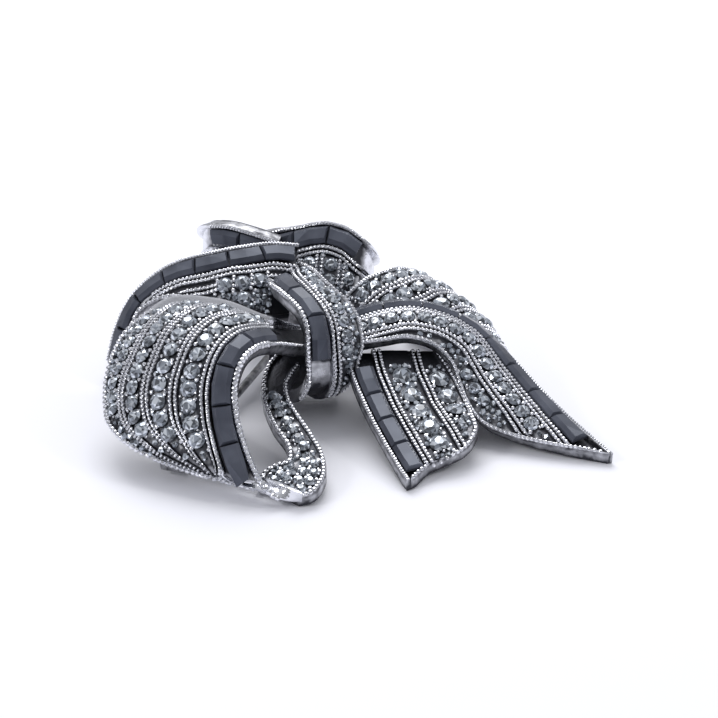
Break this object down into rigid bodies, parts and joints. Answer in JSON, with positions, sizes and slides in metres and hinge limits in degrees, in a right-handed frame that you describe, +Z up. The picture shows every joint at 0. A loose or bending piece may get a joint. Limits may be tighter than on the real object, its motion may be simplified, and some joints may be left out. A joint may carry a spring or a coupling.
{
  "type": "ribbon bow brooch",
  "caption": "Open ribbon bow brooch in dark silver, with channels of black step-cut stones, rows of grey round stones and a pin on the back.",
  "frame": {"origin": "centre of the footprint, on the table the brooch lies on", "axes": "+Z up from the table, +Y away from the viewer, +X towards the point of the long tail"},
  "size_m": [0.0663, 0.055, 0.0183],
  "materials": {
    "oxidised_silver": "bright ridges over blackened grooves",
    "pin_silver": "polished",
    "black_stone": "polished black stone",
    "grey_stone": "polished dark grey stone"
  },
  "bodies": {
    "brooch": {"front_loop": "oxidised_silver", "front_return": "oxidised_silver", "left_loop": "oxidised_silver", "back_left_loop": "oxidised_silver", "back_right_loop": "oxidised_silver", "right_loop": "oxidised_silver", "long_tail": "oxidised_silver", "short_tail": "oxidised_silver", "knot_band": "oxidised_silver", "front_loop_round_stones": "grey_stone", "front_return_round_stones": "grey_stone", "left_loop_round_stones": "grey_stone", "back_right_loop_round_stones": "grey_stone", "right_loop_round_stones": "grey_stone", "long_tail_round_stones": "grey_stone", "short_tail_round_stones": "grey_stone", "knot_band_round_stones": "grey_stone", "pin_hinge": "pin_silver", "pin_catch": "pin_silver", "front_loop_baguette_1": "black_stone", "front_loop_baguette_2": "black_stone", "front_loop_baguette_3": "black_stone", "front_loop_baguette_4": "black_stone", "front_loop_baguette_5": "black_stone", "left_loop_baguette_1": "black_stone", "left_loop_baguette_2": "black_stone", "left_loop_baguette_3": "black_stone", "left_loop_baguette_4": "black_stone", "left_loop_baguette_5": "black_stone", "left_loop_baguette_6": "black_stone", "left_loop_baguette_7": "black_stone", "back_left_loop_baguette_1": "black_stone", "back_left_loop_baguette_2": "black_stone", "back_right_loop_baguette_1": "black_stone", "back_right_loop_baguette_2": "black_stone", "back_right_loop_baguette_3": "black_stone", "long_tail_baguette_1": "black_stone", "long_tail_baguette_2": "black_stone", "long_tail_baguette_3": "black_stone", "long_tail_baguette_4": "black_stone", "long_tail_baguette_5": "black_stone", "long_tail_baguette_6": "black_stone", "long_tail_baguette_7": "black_stone", "long_tail_baguette_8": "black_stone", "short_tail_baguette_1": "black_stone", "short_tail_baguette_2": "black_stone", "short_tail_baguette_3": "black_stone", "short_tail_baguette_4": "black_stone", "knot_band_baguette_1": "black_stone", "knot_band_baguette_2": "black_stone", "knot_band_baguette_3": "black_stone"},
    "pin": {"pin_stem": "pin_silver"}
  },
  "joints": [
    {"name": "pin_turn", "type": "hinge", "parent": "brooch", "child": "pin", "pos_m": [-0.0219, -0.0189, 0.0019], "axis": [-0.9397, 0.342, 0], "range_deg": [0, 80]}
  ]
}
